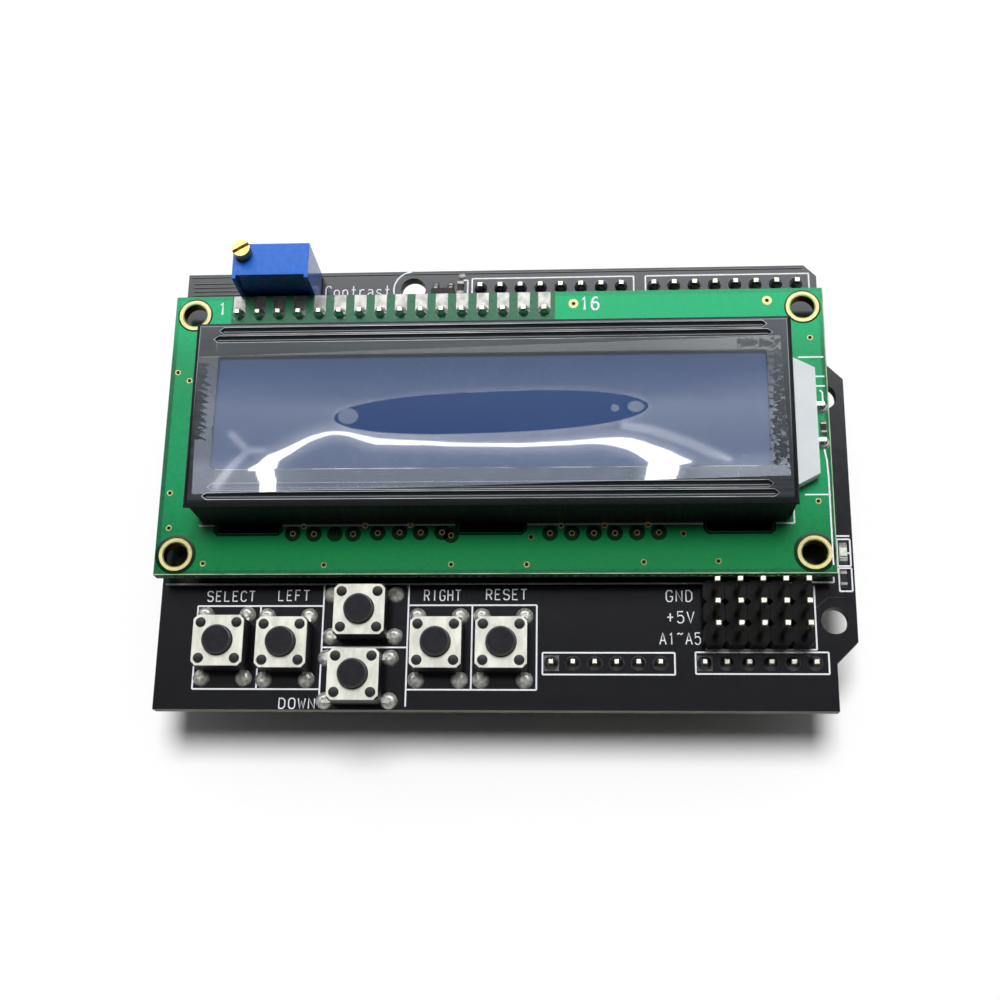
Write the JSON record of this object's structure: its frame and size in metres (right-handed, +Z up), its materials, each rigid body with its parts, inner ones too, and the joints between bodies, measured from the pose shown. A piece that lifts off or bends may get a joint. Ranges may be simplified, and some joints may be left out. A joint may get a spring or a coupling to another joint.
{
  "type": "character display shield",
  "caption": "Plug-in board with a two-row character display, push switches, a contrast trimmer, a three-row pin header and stacking pins below for a controller board.",
  "frame": {"origin": "middle of the outline, at the tips of the stacking pins", "axes": "+X along the board towards its nosed edge, +Y from the switches to the display header, +Z up out of the screen"},
  "size_m": [0.0826, 0.0564, 0.0217],
  "materials": {
    "shield_board": "black solder mask on glass-fibre laminate",
    "header_plastic": "moulded black",
    "header_pin": "gilded",
    "solder": "bright solder",
    "lcd_board": "green solder mask on glass-fibre laminate",
    "lcd_hole_rings": "gilded",
    "lcd_bezel": "black satin paint",
    "lcd_glass": "blue negative display",
    "screen_film": "clear film",
    "contact_rubber": "layered contact rubber",
    "backlight_block": "white diffuser",
    "tinned_lead": "tinned",
    "controller_blobs": "black epoxy",
    "trimmer_body": "moulded blue",
    "trimmer_screw": "turned brass",
    "power_led": "clear lens",
    "chip_resistors": "black chip with tinned ends",
    "backlight_transistor": "moulded black",
    "switch_base": "moulded black",
    "switch_cover": "bright sheet",
    "switch_button": "moulded black",
    "switch_dome": "spring steel"
  },
  "bodies": {
    "board": {"shield_board": "shield_board", "digital_high_strip": "header_plastic", "digital_low_strip": "header_plastic", "power_strip": "header_plastic", "analog_strip": "header_plastic", "digital_high_pins": "header_pin", "digital_low_pins": "header_pin", "power_pins": "header_pin", "analog_pins": "header_pin", "header_solder": "solder", "lcd_board": "lcd_board", "lcd_hole_rings": "lcd_hole_rings", "lcd_bezel": "lcd_bezel", "lcd_glass": "lcd_glass", "screen_film": "screen_film", "upper_rubber_strip": "contact_rubber", "lower_rubber_strip": "contact_rubber", "backlight_block": "backlight_block", "backlight_leads": "tinned_lead", "controller_blobs": "controller_blobs", "lcd_header_strip": "header_plastic", "lcd_header_pins": "header_pin", "lcd_solder": "solder", "trimmer_body": "trimmer_body", "trimmer_pins": "tinned_lead", "bank_strips": "header_plastic", "bank_pins": "header_pin", "board_solder": "solder", "power_led": "power_led", "chip_resistors": "chip_resistors", "backlight_transistor": "backlight_transistor", "switch_legs": "tinned_lead", "select_base": "switch_base", "select_cover": "switch_cover", "select_dome": "switch_dome", "left_base": "switch_base", "left_cover": "switch_cover", "left_dome": "switch_dome", "up_base": "switch_base", "up_cover": "switch_cover", "up_dome": "switch_dome", "down_base": "switch_base", "down_cover": "switch_cover", "down_dome": "switch_dome", "right_base": "switch_base", "right_cover": "switch_cover", "right_dome": "switch_dome", "reset_base": "switch_base", "reset_cover": "switch_cover", "reset_dome": "switch_dome"},
    "select_button": {"select_button": "switch_button"},
    "left_button": {"left_button": "switch_button"},
    "up_button": {"up_button": "switch_button"},
    "down_button": {"down_button": "switch_button"},
    "right_button": {"right_button": "switch_button"},
    "reset_button": {"reset_button": "switch_button"},
    "trimmer_screw": {"trimmer_screw": "trimmer_screw"}
  },
  "joints": [
    {"name": "select_press", "type": "slide", "parent": "board", "child": "select_button", "axis": [0, 0, -1], "range_m": [0, 0.00025], "stiffness_N_per_m": 6000, "deforming": ["select_dome"]},
    {"name": "left_press", "type": "slide", "parent": "board", "child": "left_button", "axis": [0, 0, -1], "range_m": [0, 0.00025], "stiffness_N_per_m": 6000, "deforming": ["left_dome"]},
    {"name": "up_press", "type": "slide", "parent": "board", "child": "up_button", "axis": [0, 0, -1], "range_m": [0, 0.00025], "stiffness_N_per_m": 6000, "deforming": ["up_dome"]},
    {"name": "down_press", "type": "slide", "parent": "board", "child": "down_button", "axis": [0, 0, -1], "range_m": [0, 0.00025], "stiffness_N_per_m": 6000, "deforming": ["down_dome"]},
    {"name": "right_press", "type": "slide", "parent": "board", "child": "right_button", "axis": [0, 0, -1], "range_m": [0, 0.00025], "stiffness_N_per_m": 6000, "deforming": ["right_dome"]},
    {"name": "reset_press", "type": "slide", "parent": "board", "child": "reset_button", "axis": [0, 0, -1], "range_m": [0, 0.00025], "stiffness_N_per_m": 6000, "deforming": ["reset_dome"]},
    {"name": "contrast_turn", "type": "hinge", "parent": "board", "child": "trimmer_screw", "pos_m": [-0.03195, 0.0265, 0.01924], "axis": [0, 0, 1], "continuous": true}
  ]
}
